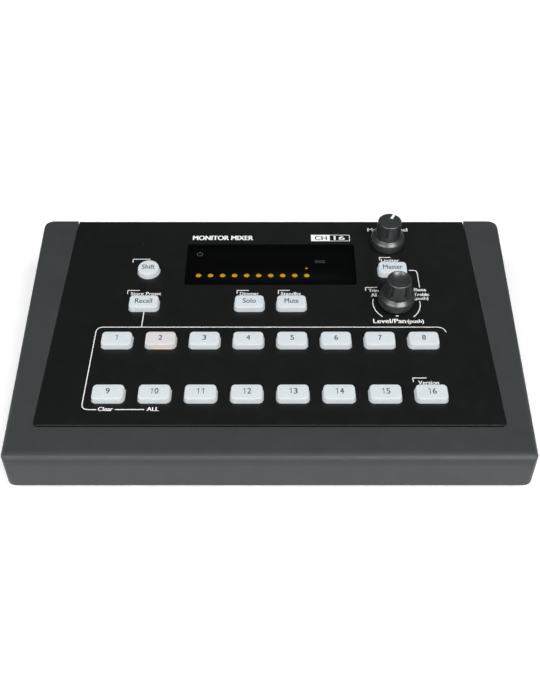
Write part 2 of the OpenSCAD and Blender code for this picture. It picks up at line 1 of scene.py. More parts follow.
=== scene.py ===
"""Looks of the desktop monitor mixer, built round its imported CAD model."""
import json
import math

import bmesh
import bpy
from mathutils import Matrix, Vector


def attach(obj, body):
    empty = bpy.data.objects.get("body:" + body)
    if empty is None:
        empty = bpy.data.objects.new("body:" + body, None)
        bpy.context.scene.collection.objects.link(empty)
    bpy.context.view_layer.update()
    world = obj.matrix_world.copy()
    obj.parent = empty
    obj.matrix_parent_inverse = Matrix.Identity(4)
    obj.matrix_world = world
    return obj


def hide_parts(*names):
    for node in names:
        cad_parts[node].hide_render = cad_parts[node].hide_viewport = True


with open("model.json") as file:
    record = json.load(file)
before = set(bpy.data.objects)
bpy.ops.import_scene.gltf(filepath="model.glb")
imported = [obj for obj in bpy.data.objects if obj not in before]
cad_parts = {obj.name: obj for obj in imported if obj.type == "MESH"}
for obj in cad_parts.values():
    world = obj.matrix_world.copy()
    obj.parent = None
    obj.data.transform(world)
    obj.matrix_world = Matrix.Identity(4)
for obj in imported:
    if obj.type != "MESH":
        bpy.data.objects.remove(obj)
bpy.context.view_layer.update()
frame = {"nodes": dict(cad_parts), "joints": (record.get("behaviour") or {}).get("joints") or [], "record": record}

MM = 0.001
RECORD = frame["record"]
JOINTS = {j["name"]: j for j in frame["joints"]}
SLOT_OF = {s["node"]: s["material_slot"] for s in RECORD["subparts"]}
BODY_OF = {n: body for body, nodes in RECORD["behaviour"]["bodies"].items() for n in nodes}

# ---------------------------------------------------------------------------------------------
# The panel's own frame, in mm: x across, y up the slope from its front edge, z out of its face.
# The level knob's joint fixes it.
LEVEL_PIVOT = Vector((55.8, 105.3, 6))
ACROSS = Vector((1, 0, 0))
OUT = Vector(JOINTS["level_turn"]["axis"]).normalized()
UP = OUT.cross(ACROSS)
TURN = Matrix((ACROSS, UP, OUT)).transposed()
PANEL_ORIGIN = Vector(JOINTS["level_turn"]["pos_m"]) - TURN @ LEVEL_PIVOT * MM
PANEL = Matrix.Translation(PANEL_ORIGIN) @ TURN.to_4x4() @ Matrix.Scale(MM, 4)
TO_PANEL = PANEL.inverted()


def panel_box(node):
    """Lowest and highest corners of a CAD node in the panel's frame, in mm."""
    points = [TO_PANEL @ v.co for v in frame["nodes"][node].data.vertices]
    low = Vector([min(p[i] for p in points) for i in range(3)])
    high = Vector([max(p[i] for p in points) for i in range(3)])
    return low, high


# ---------------------------------------------------------------------------------------------
# Camera
CAMERA_PLACE = Vector((2.5, -181.7, 268))  # in the panel's frame, mm
CAMERA_PITCH = 50.54 - 10.0                # degrees below the horizontal
CAMERA_FOCUS = 810 / 700                   # focal length as a share of the picture's height
CAMERA_SHIFT = -6 / 700


def add_camera():
    camera = bpy.data.cameras.new("camera")
    camera.sensor_fit = "VERTICAL"
    camera.sensor_height = 36
    camera.lens = 36 * CAMERA_FOCUS
    camera.shift_x = CAMERA_SHIFT
    camera.clip_start = 0.01
    camera.clip_end = 20
    holder = bpy.data.objects.new("camera", camera)
    bpy.context.scene.collection.objects.link(holder)
    holder.location = PANEL @ CAMERA_PLACE
    holder.rotation_euler = (math.radians(90 - CAMERA_PITCH), 0, 0)
    bpy.context.scene.camera = holder


# ---------------------------------------------------------------------------------------------
# Materials
def principled(name, **sockets):
    """A material and its Principled node, with the given sockets set."""
    mat = bpy.data.materials.new(name)
    mat.use_nodes = True
    bsdf = mat.node_tree.nodes["Principled BSDF"]
    for key, value in sockets.items():
        socket = bsdf.inputs[key.replace("_", " ")]
        is_colour = isinstance(value, tuple) and len(value) == 3
        socket.default_value = (*value, 1) if is_colour else value
    return mat, bsdf


def node(mat, kind, **settings):
    made = mat.node_tree.nodes.new(kind)
    for key, value in settings.items():
        if key in made.inputs:
            made.inputs[key].default_value = value
        else:
            setattr(made, key, value)
    return made


def link(mat, a, b):
    mat.node_tree.links.new(a, b)


def coordinates(mat):
    return node(mat, "ShaderNodeTexCoord").outputs["Object"]


def noise(mat, scale, detail=3.0, roughness=0.5):
    made = node(mat, "ShaderNodeTexNoise", Scale=scale, Detail=detail, Roughness=roughness)
    link(mat, coordinates(mat), made.inputs["Vector"])
    return made.outputs["Fac"]


def spread(mat, source, low, high):
    """A value that runs from low to high over the middle of a noise's range."""
    made = node(mat, "ShaderNodeMapRange")
    for key, value in (("From Min", 0.3), ("From Max", 0.7), ("To Min", low), ("To Max", high)):
        made.inputs[key].default_value = value
    link(mat, source, made.inputs["Value"])
    return made.outputs["Result"]


def mottled(mat, bsdf, dark, light, scale):
    ramp = node(mat, "ShaderNodeValToRGB")
    ramp.color_ramp.elements[0].position = 0.3
    ramp.color_ramp.elements[1].position = 0.7
    ramp.color_ramp.elements[0].color = (*dark, 1)
    ramp.color_ramp.elements[1].color = (*light, 1)
    link(mat, noise(mat, scale), ramp.inputs["Fac"])
    link(mat, ramp.outputs["Color"], bsdf.inputs["Base Color"])


def grained(mat, bsdf, scale, height, detail=2.0):
    """A fine surface relief, height in mm."""
    bump = node(mat, "ShaderNodeBump", Strength=1.0, Distance=height * MM)
    link(mat, noise(mat, scale, detail), bump.inputs["Height"])
    link(mat, bump.outputs["Normal"], bsdf.inputs["Normal"])


def shade(colour, factor):
    return tuple(c * factor for c in colour)


def finish(name, colour, rough, relief=(1500, 0.02), vary=0.12, blotch=60, **sockets):
    """A solid colour with slight blotches, uneven gloss and a fine relief."""
    mat, bsdf = principled(name, **sockets)
    mottled(mat, bsdf, shade(colour, 1 - vary), shade(colour, 1 + vary), blotch)
    gloss = spread(mat, noise(mat, blotch * 3), rough * 0.9, rough * 1.1)
    link(mat, gloss, bsdf.inputs["Roughness"])
    grained(mat, bsdf, *relief)
    return mat


def make_materials():
    m = {}
    m["housing_plastic"] = finish("housing_plastic", (0.036, 0.0395, 0.0405), 0.5, (2200, 0.03), 0.05,
                                  Specular_IOR_Level=0.35)
    m["panel_paint"] = finish("panel_paint", (0.0056, 0.0066, 0.0058), 0.38, (2600, 0.012), 0.08,
                              Specular_IOR_Level=0.35)
    m["smoked_window"], window = principled(
        "smoked_window", Base_Color=(0.0015, 0.0016, 0.0015), Roughness=0.05, Alpha=0.7,
        Specular_IOR_Level=0.2)
    grained(m["smoked_window"], window, 300, 0.002)
    m["black_plastic"] = finish("black_plastic", (0.018, 0.018, 0.019), 0.5, (1800, 0.02))
    m["amber_lamp"], lamp = principled(
        "amber_lamp", Base_Color=(0.8, 0.5, 0.06), Emission_Color=(1.0, 0.53, 0.03),
        Emission_Strength=6.0, Roughness=0.3)
    grained(m["amber_lamp"], lamp, 900, 0.01)
    m["white_lamp"], lamp = principled(
        "white_lamp", Base_Color=(0.95, 0.9, 0.75), Emission_Color=(1.0, 0.95, 0.85),
        Emission_Strength=2.0, Roughness=0.3)
    grained(m["white_lamp"], lamp, 900, 0.01)
    # The keys' emission is a painted glow that brightens every cap evenly; on the lit key its warm tint also
    # stands for the light behind it
    m["key_translucent"] = key_material(
        "key_translucent", (0.34, 0.362, 0.368), (0.86, 0.94, 1.0), 0.33)
    m["key_lit"] = key_material("key_lit", (0.34, 0.335, 0.335), (1.0, 0.92, 0.885), 0.31)
    m["key_glow"], glow = principled(
        "key_glow", Base_Color=(0.7, 0.4, 0.2), Emission_Color=(1.0, 0.62, 0.28),
        Emission_Strength=0.6)
    grained(m["key_glow"], glow, 900, 0.01)
    m["circuit_board"] = finish("circuit_board", (0.012, 0.10, 0.045), 0.35, (700, 0.02), 0.15, 300)
    m["plated_steel"] = finish("plated_steel", (0.6, 0.6, 0.58), 0.3, (900, 0.01), 0.06, Metallic=1.0)
    m["black_steel"] = finish("black_steel", (0.03, 0.03, 0.03), 0.4, (1200, 0.01), Metallic=0.6)
    m["nickel"] = finish("nickel", (0.62, 0.60, 0.56), 0.25, (900, 0.008), 0.06, Metallic=1.0)
    m["shaft_metal"] = finish("shaft_metal", (0.70, 0.70, 0.70), 0.3, (1500, 0.01), 0.05, Metallic=1.0)
    m["pot_blue"] = finish("pot_blue", (0.04, 0.10, 0.22), 0.4)
    m["pot_case_steel"] = finish("pot_case_steel", (0.5, 0.5, 0.5), 0.35, (900, 0.01), Metallic=1.0)
    m["rotor_nylon"] = finish("rotor_nylon", (0.70, 0.70, 0.64), 0.5)
    m["knob_plastic"] = finish("knob_plastic", (0.026, 0.0285, 0.0285), 0.33, (2400, 0.02), 0.06,
                               Specular_IOR_Level=0.75)
    m["pointer_white"] = finish("pointer_white", (0.88, 0.89, 0.89), 0.45, (1500, 0.01), 0.03)
    m["rubber_black"] = finish("rubber_black", (0.02, 0.02, 0.02), 0.8, (1200, 0.05))
    m["chip_black"] = finish("chip_black", (0.015, 0.015, 0.016), 0.5)
    m["gold_contact"] = finish("gold_contact", (0.78, 0.56, 0.22), 0.25, (900, 0.005), Metallic=1.0)
    m["ribbon_grey"] = ribbon_material()
    m["brass_insert"] = finish("brass_insert", (0.62, 0.45, 0.18), 0.3, (1200, 0.01), Metallic=1.0)
    m["legend_white"] = finish("legend_white", (0.80, 0.81, 0.80), 0.6, (1500, 0.004), 0.05)
    m["legend_dim"] = finish("legend_dim", (0.055, 0.058, 0.058), 0.6, (1500, 0.004), 0.05)
    m["panel_ink"] = finish("panel_ink", (0.012, 0.013, 0.012), 0.5, (1500, 0.004), 0.05)
    m["key_ink"] = finish("key_ink", (0.02, 0.022, 0.025), 0.6, (1500, 0.004), 0.05)
    return m


def key_material(name, colour, glow, painted_glow_strength):
    # The emission colour and strength paint an even glow onto the cap, on top of what the lamps give
    mat, bsdf = principled(
        name, Roughness=0.6, Specular_IOR_Level=0.25, Subsurface_Weight=0.35, Subsurface_Scale=0.002,
        Emission_Color=glow, Emission_Strength=painted_glow_strength)
    mottled(mat, bsdf, shade(colour, 0.97), shade(colour, 1.03), 160)
    grained(mat, bsdf, 1400, 0.008)
    return mat


def ribbon_material():
    """Grey ribbon with a ridge for each of its wires."""
    mat, bsdf = principled("ribbon_grey", Base_Color=(0.35, 0.35, 0.36), Roughness=0.5)
    wave = node(mat, "ShaderNodeTexWave", Scale=125, bands_direction="X")
    link(mat, coordinates(mat), wave.inputs["Vector"])
    bump = node(mat, "ShaderNodeBump", Strength=1.0, Distance=0.0003)
    link(mat, wave.outputs["Fac"], bump.inputs["Height"])
    link(mat, bump.outputs["Normal"], bsdf.inputs["Normal"])
    return mat


def add_piece(name, bm, material, body, place=PANEL, sharp=35, replaces=(),
              weighted=False):
    bmesh.ops.recalc_face_normals(bm, faces=bm.faces)
    mesh = bpy.data.meshes.new(name)
    bm.to_mesh(mesh)
    bm.free()
    mesh.transform(place)
    mesh.shade_smooth()
    mesh.set_sharp_from_angle(angle=math.radians(sharp))
    mesh.materials.append(MATERIALS[material])
    piece = bpy.data.objects.new(name, mesh)
    bpy.context.scene.collection.objects.link(piece)
    if weighted:
        normals = piece.modifiers.new("normals", "WEIGHTED_NORMAL")
        normals.keep_sharp = True
        normals.weight = 100
    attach(piece, body)
    if replaces:
        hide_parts(*replaces)
    return piece


def loft(bm, rings):
    """Skins rings of equally many points; a ring of one point closes an end."""
    made = [[bm.verts.new(p) for p in ring] for ring in rings]
    for a, b in zip(made, made[1:]):
        count = max(len(a), len(b))
        for i in range(count):
            j = (i + 1) % count
            if len(a) == 1:
                bm.faces.new((a[0], b[j], b[i]))
            elif len(b) == 1:
                bm.faces.new((a[i], a[j], b[0]))
            else:
                bm.faces.new((a[i], a[j], b[j], b[i]))


def tie_ends(bm, rings):
    """Skins rings and closes both ends with a face."""
    made = [[bm.verts.new(p) for p in ring] for ring in rings]
    count = len(made[0])
    for a, b in zip(made, made[1:]):
        for i in range(count):
            j = (i + 1) % count
            bm.faces.new((a[i], a[j], b[j], b[i]))
    bm.faces.new(made[0])
    bm.faces.new(reversed(made[-1]))


def circle(r, z, count, centre=(0, 0)):
    return [(centre[0] + r * math.cos(2 * math.pi * i / count),
             centre[1] + r * math.sin(2 * math.pi * i / count), z) for i in range(count)]


def rounded_ring(half_w, half_d, r, z, per_corner=9, centre=(0, 0)):
    """A ring round a rounded rectangle, counter-clockwise from its right-hand side."""
    points = []
    for quarter, (sx, sy) in enumerate(((1, 1), (-1, 1), (-1, -1), (1, -1))):
        for i in range(per_corner):
            a = math.pi / 2 * (quarter + i / (per_corner - 1))
            points.append((centre[0] + sx * (half_w - r) + r * math.cos(a),
                           centre[1] + sy * (half_d - r) + r * math.sin(a), z))
    return points


def quarter_round(inset, z, r, steps=5):
    """Insets and heights of a rounded edge that ends at height z."""
    angles = [math.pi / 2 * i / steps for i in range(steps + 1)]
    return [(inset + r * (1 - math.cos(a)), z - r + r * math.sin(a)) for a in angles]


def softened(node_name, width, segments=2, sharp=30):
    """A CAD node's shape with its edges rounded, which stands for the node."""
    bm = bmesh.new()
    bm.from_mesh(frame["nodes"][node_name].data)
    bmesh.ops.remove_doubles(bm, verts=bm.verts, dist=2e-6)
    bmesh.ops.dissolve_limit(bm, angle_limit=math.radians(0.5), verts=bm.verts, edges=bm.edges)
    edges = [e for e in bm.edges
             if len(e.link_faces) == 2 and e.calc_face_angle(0) > math.radians(sharp)]
    bmesh.ops.bevel(bm, geom=edges, offset=width * MM, segments=segments, profile=0.5,
                    affect="EDGES", clamp_overlap=True)
    slot = SLOT_OF[node_name]
    return add_piece(node_name + "_finished", bm, slot, BODY_OF[node_name], Matrix.Identity(4),
                     sharp=50, replaces=[node_name], weighted=True)


# ---------------------------------------------------------------------------------------------
# Keys
FLANGE_W = 0.8        # how far a key's flange stands out under the sheet
KEY_CORNER = 1.9
KEY_WALL = 1.2
KEY_EDGE = 0.6        # rounding of the top edge
KEY_DRAFT = 0.15
SHEET_T = 1.2
STEM_R = 1.6


def key_cap(name, material):
    low, high = panel_box(name)
    centre = ((low.x + high.x) / 2, (low.y + high.y) / 2)
    half_w, half_d = (high.x - low.x) / 2 - FLANGE_W, (high.y - low.y) / 2 - FLANGE_W
    top, stem_end = high.z, low.z
    flange_top = -SHEET_T - 0.15
    flange_bottom = flange_top - 1
    ceiling = top - KEY_WALL
    corners = 9

    def ring(grow, z):
        if name == "key_shift":
            return circle(half_w + grow, z, 4 * corners, centre)
        return rounded_ring(half_w + grow, half_d + grow, KEY_CORNER + grow, z, corners, centre)

    rings = [[(*centre, stem_end)], circle(STEM_R, stem_end, 4 * corners, centre),
             circle(STEM_R, ceiling, 4 * corners, centre), ring(-KEY_WALL, ceiling),
             ring(-KEY_WALL, flange_bottom), ring(FLANGE_W, flange_bottom), ring(FLANGE_W, flange_top),
             ring(0, flange_top), ring(0, 0)]
    rings += [ring(-inset, z) for inset, z in quarter_round(KEY_DRAFT, top, KEY_EDGE)]
    rings.append([(*centre, top)])
    bm = bmesh.new()
    loft(bm, rings)
    return add_piece(name + "_cap", bm, material, BODY_OF[name], replaces=[name])


def lit_edge(name):
    """The amber light that leaks along the front of a lit key's foot."""
    low, high = panel_box(name)
    centre = ((low.x + high.x) / 2, (low.y + high.y) / 2)
    half_w, half_d = (high.x - low.x) / 2 - FLANGE_W, (high.y - low.y) / 2 - FLANGE_W
    start, end = centre[0] - 0.45 * half_w, centre[0] + (half_w - KEY_CORNER)
    front = centre[1] - half_d
    bm = bmesh.new()
    rings = []
    for x, taper in ((start, 0.3), (start + 0.6, 1), (end - 0.8, 1), (end, 0.3)):
        top, bottom = 0.15 + 0.2 * taper, 0.15 - 0.15 * taper
        rings.append([(x, front - 0.02 * taper, bottom), (x, front - 0.02 * taper + 0.01, top),
                      (x, front + 0.12, top), (x, front + 0.12, bottom)])
    tie_ends(bm, rings)
    add_piece(name + "_glow", bm, "key_glow", BODY_OF[name])


# ---------------------------------------------------------------------------------------------
# Knobs
KNOB_STEPS = 240
SLOT_COUNT = 6
SLOT_R = 0.6
SLOT_PLACE = 5.3       # distance of a slot's rounded floor's centre from the knob's axis
SLOT_LOW = 7.6         # heights above the knob's lower edge
SLOT_HIGH = 13.4
SKIRT_H = 5.2
GRIP_R = 6.0
GRIP_TOP_R = 5.5
GRIP_TAPER_H = 7.7
EDGE_R = 0.8
# Angles of the pointer and of each knob's first slot, clockwise from straight up the slope
POINTER_TURN = 28
LEVEL_SLOT_TURN = 15
ENCODER_SLOT_TURN = 32
POINTER_HALF_W = 0.6
POINTER_START = 1.7    # distances from the knob's axis
POINTER_BEND = 4.7
POINTER_LIFT = 0.04
SHAFT_R = 3.0
HOLLOW_R = 6.3
HOLLOW_TOP = 4.0
DISH_R = 6.9
DISH_DEPTH = 1.8


def grip_radius(below):
    """The grip's radius at a depth below the knob's top."""
    if below < EDGE_R:
        return GRIP_TOP_R - EDGE_R + math.sqrt(EDGE_R ** 2 - (EDGE_R - below) ** 2)
    return GRIP_TOP_R + (GRIP_R - GRIP_TOP_R) * (below - EDGE_R) / GRIP_TAPER_H


def knob_outline(bottom, top, skirt_r, shaft_top, dished):
    """Radii and heights from the top of the shaft's bore round the outside to the top's centre."""
    inside = [(0, shaft_top), (SHAFT_R, shaft_top), (SHAFT_R, HOLLOW_TOP), (HOLLOW_R, HOLLOW_TOP),
              (HOLLOW_R, bottom + 0.1), (HOLLOW_R + 0.1, bottom)]
    shoulder = [(0.25, 0), (0.08, 0.07), (0, 0.25), (0, SKIRT_H - 1.65), (0.06, SKIRT_H - 1.45),
                (0.22, SKIRT_H - 1.2), (0.4, SKIRT_H - 1.05)]
    skirt = [(skirt_r - inset, bottom + z) for inset, z in shoulder]
    skirt += [(GRIP_R + 0.35, bottom + SKIRT_H - 0.1), (GRIP_R + 0.15, bottom + SKIRT_H),
              (GRIP_R + 0.02, bottom + SKIRT_H + 0.15)]
    low, high = bottom + SLOT_LOW, bottom + SLOT_HIGH
    heights = [low - 0.01, low]
    heights += [low + (high - low) * i / 10 for i in range(1, 11)]
    heights.append(high + 0.01)
    heights += [top - EDGE_R * (1 - math.sin(math.radians(a))) for a in (36, 52, 66, 78)]
    side = [(grip_radius(top - z), z) for z in sorted(heights)]
    flat = GRIP_TOP_R - EDGE_R
    if dished:
        lip = math.sqrt(DISH_R ** 2 - (DISH_R - DISH_DEPTH) ** 2)
        face = [(lip, top - 0.02)]
        face += [(lip * share, top - DISH_DEPTH + DISH_R - math.sqrt(DISH_R ** 2 - (lip * share) ** 2))
                 for share in (0.96, 0.9, 0.8, 0.68, 0.54, 0.38, 0.2)]
        face.append((0, top - DISH_DEPTH))
    else:
        face = [(flat * share, top) for share in (1, 0.8, 0.5, 0.25, 0)]
    return inside + skirt + side + face, (low, high)


def slotted(r, angle, slots):
    """The radius at an angle on a ring that the finger slots cut into."""
    aside = min(abs(math.remainder(angle - slot, 2 * math.pi)) for slot in slots)
    across = SLOT_PLACE * math.sin(aside)
    if aside > 1 or r * math.sin(aside) >= SLOT_R:
        return r
    if SLOT_PLACE * math.tan(aside) >= SLOT_R:
        return min(r, SLOT_R / math.sin(aside))
    return min(r, SLOT_PLACE * math.cos(aside) - math.sqrt(SLOT_R ** 2 - across ** 2))


def knob(name, shaft, turn, dished):
    low, high = panel_box(name)
    centre = ((low.x + high.x) / 2, (low.y + high.y) / 2)
    outline, (slot_low, slot_high) = knob_outline(
        low.z, high.z, (high.x - low.x) / 2, panel_box(shaft)[1].z, dished)
    slots = [math.radians(90 - turn - i * 360 / SLOT_COUNT) for i in range(SLOT_COUNT)]
    angles = [2 * math.pi * i / KNOB_STEPS for i in range(KNOB_STEPS)]
    angles += [(slot + side * math.asin(SLOT_R / r)) % (2 * math.pi)
               for slot in slots for side in (-1, 1) for r in (5.25, 5.36, 5.6, 5.75, 5.9)]
    angles.sort()
    rings = []
    for r, z in outline:
        if r == 0:
            rings.append([(*centre, z)])
            continue
        cut = slot_low - 0.001 < z < slot_high + 0.001 and r > GRIP_TOP_R - EDGE_R
        radii = [slotted(r, a, slots) if cut else r for a in angles]
        rings.append([(centre[0] + q * math.cos(a), centre[1] + q * math.sin(a), z)
                      for q, a in zip(radii, angles)])
    bm = bmesh.new()
    loft(bm, rings)
    return add_piece(name + "_finished", bm, "knob_plastic", BODY_OF[name], sharp=32, replaces=[name])


def pointer(knob_name, turn):
    """The white bar let into the level knob's top, which turns down over its edge."""
    low, high = panel_box(knob_name)
    centre = Vector(((low.x + high.x) / 2, (low.y + high.y) / 2))
    along = Vector((math.sin(math.radians(turn)), math.cos(math.radians(turn))))
    aside = Vector((along.y, -along.x))
    route = [(POINTER_START, 0.03), (POINTER_START + 0.08, POINTER_LIFT),
             (POINTER_BEND, POINTER_LIFT)]
    for angle in (15, 30, 45, 60, 70):
        a = math.radians(angle)
        bend_r = EDGE_R + POINTER_LIFT
        route.append((POINTER_BEND + bend_r * math.sin(a), bend_r * math.cos(a) - EDGE_R))
    bm = bmesh.new()
    rings = []
    for r, lift in route:
        ring = []
        for side, drop in ((-1, 0.02), (-0.94, 0), (0.94, 0), (1, 0.02), (1, 0.3), (-1, 0.3)):
            p = centre + along * r + aside * POINTER_HALF_W * side
            ring.append((p.x, p.y, high.z + lift - drop))
        rings.append(ring)
    tie_ends(bm, rings)
    return add_piece("pointer_bar", bm, "pointer_white", BODY_OF[knob_name],
                     replaces=["level_pointer"])


# ---------------------------------------------------------------------------------------------
# Window
def window_plate():
    low, high = panel_box("display_window")
    centre = ((low.x + high.x) / 2, (low.y + high.y) / 2)
    half_w, half_d = (high.x - low.x) / 2, (high.y - low.y) / 2
    step_w, step_d = half_w - 2.65, half_d - 2.45
    shoulder = -SHEET_T
    bm = bmesh.new()
    loft(bm, [[(*centre, low.z)], rounded_ring(half_w, half_d, 2, low.z, centre=centre),
              rounded_ring(half_w, half_d, 2, shoulder, centre=centre),
              rounded_ring(step_w, step_d, 1.4, shoulder, centre=centre),
              rounded_ring(step_w, step_d, 1.4, high.z - 0.12, centre=centre),
              rounded_ring(step_w - 0.12, step_d - 0.12, 1.3, high.z, centre=centre),
              [(*centre, high.z)]])
    add_piece("window_plate", bm, "smoked_window", "housing", replaces=["display_window"])


# Meter lamps: flat-topped lenses that fill the holes of their holder
LAMP_COUNT = 10
LAMP_PITCH = 5.65
FIRST_LAMP = (-33.9, 87.2)
LAMP_R = 1.3
SIGNAL_LAMP = (16.95, 92, 0.6)
LAMP_PLACES = [(FIRST_LAMP[0] + LAMP_PITCH * i, FIRST_LAMP[1], LAMP_R) for i in range(LAMP_COUNT)]
LAMP_PLACES.append(SIGNAL_LAMP)
LENS_SIDES = 32


def lamp_lenses():
    low, high = panel_box("meter_lamps")
    bm = bmesh.new()
    for x, y, r in LAMP_PLACES:
        rings = [[(x, y, low.z)], circle(r, low.z, LENS_SIDES, (x, y))]
        rings += [circle(r - inset, z, LENS_SIDES, (x, y))
                  for inset, z in quarter_round(0, high.z - 0.08, 0.2)]
        rings += [circle(r * 0.45, high.z, LENS_SIDES, (x, y)), [(x, y, high.z)]]
        loft(bm, rings)
    add_piece("lamp_lenses", bm, "amber_lamp", "housing", replaces=["meter_lamps"])


# ---------------------------------------------------------------------------------------------
# Printed legends: thin strokes and letters lying on the panel
INK_T = 0.02
INK_LIFT = 0.004       # keeps the ink clear of the face under it
LINE_W = 0.38


def rounded_path(points, radius, steps=8):
    """The path with its inner corners rounded."""
    path = [Vector(points[0])]
    for before, corner, after in zip(points, points[1:], points[2:]):
        corner = Vector(corner)
        a = (Vector(before) - corner).normalized()
        b = (Vector(after) - corner).normalized()
        start, end = corner + a * radius, corner + b * radius
        for i in range(steps + 1):
            t = i / steps
            path.append((1 - t) ** 2 * start + 2 * t * (1 - t) * corner + t * t * end)
    path.append(Vector(points[-1]))
    return path


def stroke(bm, path, width=LINE_W, z=0.0):
    """A flat strip of ink along a path."""
    sides = []
    for i, point in enumerate(path):
        ahead = path[min(i + 1, len(path) - 1)] - path[max(i - 1, 0)]
        normal = Vector((-ahead.y, ahead.x)).normalized() * width / 2
        sides.append((point + normal, point - normal))
    tie_ends(bm, [[(*a, z + INK_T), (*b, z + INK_T), (*b, z + INK_LIFT), (*a, z + INK_LIFT)]
                  for a, b in sides])


CAP_SHARE = 0.682      # height of a capital in the built-in font at size 1


def letters(bm, text, x, y, width, height, z=0.0, weight=0.0):
    """Adds words in the built-in font from x, as wide as given, with capitals centred on y.
    A weight sets copies side by side, that far apart."""
    curve = bpy.data.curves.new("words", "FONT")
    curve.body = text
    curve.extrude = 0.5
    curve.resolution_u = 4
    holder = bpy.data.objects.new("words", curve)
    bpy.context.scene.collection.objects.link(holder)
    bpy.context.view_layer.update()
    shown = holder.evaluated_get(bpy.context.evaluated_depsgraph_get())
    mesh = bpy.data.meshes.new_from_object(shown)
    left = min(v.co.x for v in mesh.vertices)
    right = max(v.co.x for v in mesh.vertices)
    copies = (-1, 0, 1) if weight else (0,)
    scale = Matrix.Diagonal(((width - 2 * weight) / (right - left), height / CAP_SHARE, INK_T, 1))
    mesh.transform(scale @ Matrix.Translation((-left, -CAP_SHARE / 2, 0)))
    for i, step in enumerate(copies):
        shift = Vector((x + weight * (1 + step), y, z + INK_T / 2 + INK_LIFT + 0.002 * i))
        mesh.transform(Matrix.Translation(shift))
        bm.from_mesh(mesh)
        mesh.transform(Matrix.Translation(-shift))
    bpy.data.objects.remove(holder)
    bpy.data.curves.remove(curve)
    bpy.data.meshes.remove(mesh)


def bracket(bm, x, y, length, drop=2.1):
    """The small hooked line over a key's second function."""
    stroke(bm, [Vector((x, y - drop)), Vector((x, y + 0.17))], 0.36)
    stroke(bm, [Vector((x, y)), Vector((x + length, y))], 0.36)


def arc_path(centre, r, start, end, steps=24):
    """Angles in degrees, clockwise from straight up the slope."""
    angles = [math.radians(start + (end - start) * i / steps) for i in range(steps + 1)]
    return [Vector((centre[0] + r * math.sin(a), centre[1] + r * math.cos(a))) for a in angles]


# Second functions: the key's word, where its small line starts, and where the word starts
SECOND_FUNCTIONS = [
    ("Store Preset", (-65.0, 74.1), 5.4, (-63.5, 72.1), 13.8),
    ("Dimmer", (-15.2, 74.1), 5.3, (-13.9, 72.1), 8.6),
    ("Standby", (3.6, 74.1), 5.2, (4.7, 72.1), 9.2),
    ("Limiter", (51.4, 95.6), 5.2, (52.1, 93.6), 8.5),
    ("Version", (59.5, 23.8), 5.7, (61.5, 21.4), 8.6),
]
# Other words: left end, height up the slope, width, height of capitals and weight
PANEL_WORDS = [
    ("Master Level", 47.0, 114.9, 19.6, 2.3, 0.12),
    ("Level/Pan", 45.4, 55.5, 14.5, 2.45, 0.09),
    ("(push)", 60.5, 55.4, 7.3, 2.0, 0.08),
    ("Trim", 44.7, 74.1, 4.6, 1.9, 0.08),
    ("All", 45.6, 71.2, 2.7, 1.9, 0.08),
    ("Bass", 65.4, 74.6, 5.6, 1.9, 0.10),
    ("Treble", 65.0, 71.6, 6.9, 1.9, 0.08),
    ("(push)", 64.9, 69.2, 6.5, 1.7, 0.06),
    ("Clear", -69.5, 8.0, 6.1, 1.9, 0.07),
    ("ALL", -49.8, 8.0, 4.9, 1.9, 0.07),
    ("MONITOR MIXER", -37.7, 109.1, 29.2, 3.0, 0.16),
]
# The boxed legend over the window: a filled half and an outlined half
BADGE_LOW = Vector((19.6, 107.0))
BADGE_SIZE = Vector((18.4, 4.1))
BADGE_SPLIT = 8.9
LOOP_R = 3.0


def panel_legends():
    lines = bmesh.new()
    stroke(lines, rounded_path([(-70.1, 7.7), (-76.3, 7.7), (-76.1, 51.9), (60, 51.9)], LOOP_R))
    end = arc_path((73.3, 48.4), 3.5, 0, 80)
    stroke(lines, [Vector((60, 51.9))] + end)
    stroke(lines, [Vector((-62.6, 7.75)), Vector((-50.8, 7.75))])
    stroke(lines, [Vector((-56.4, 60.6)), Vector((-56.5, 51.9))])
    for _, (x, y), length, _, _ in SECOND_FUNCTIONS:
        bracket(lines, x, y, length)
    bracket(lines, -64.8, 94.4, 8)
    bracket(lines, 43.4, 76.0, 5.4)
    stroke(lines, rounded_path([(64.4, 87.0), (68.1, 87.0), (68.2, 76.0)], 1.9))
    low, high = panel_box("encoder_knob")
    centre = ((low.x + high.x) / 2 + 0.4, (low.y + high.y) / 2)
    stroke(lines, arc_path(centre, 10.6, 82, 140))
    stroke(lines, arc_path(centre, 10.6, 285, 221))
    stroke(lines, [Vector((centre[0] - 1.0, 58.5)), Vector((centre[0] + 0.2, 58.5))], 0.6)
    add_piece("panel_lines", lines, "legend_white", "housing")

    words = bmesh.new()
    for text, x, y, width, height, weight in PANEL_WORDS:
        letters(words, text, x, y, width, height, weight=weight)
    for text, _, _, (x, y), width in SECOND_FUNCTIONS:
        letters(words, text, x, y, width, 1.9, weight=0.03)
    top = BADGE_LOW + BADGE_SIZE
    frame_line = [(top.x, BADGE_LOW.y), tuple(top), (BADGE_LOW.x + BADGE_SPLIT, top.y)]
    stroke(words, rounded_path([(BADGE_LOW.x + BADGE_SPLIT, BADGE_LOW.y)] + frame_line, 0.3), 0.32)
    half = BADGE_LOW.y + BADGE_SIZE.y / 2
    stroke(words, [Vector((BADGE_LOW.x - 0.16, half)), Vector((BADGE_LOW.x + BADGE_SPLIT, half))],
           BADGE_SIZE.y + 0.32)
    letters(words, "16", BADGE_LOW.x + BADGE_SPLIT + 1.9, half, 5.4, 2.7, weight=0.14)
    add_piece("panel_words", words, "legend_white", "housing")
    dark = bmesh.new()
    letters(dark, "CH", BADGE_LOW.x + 1.6, half, 5.9, 2.7, z=INK_T, weight=0.08)
    add_piece("badge_word", dark, "panel_ink", "housing")


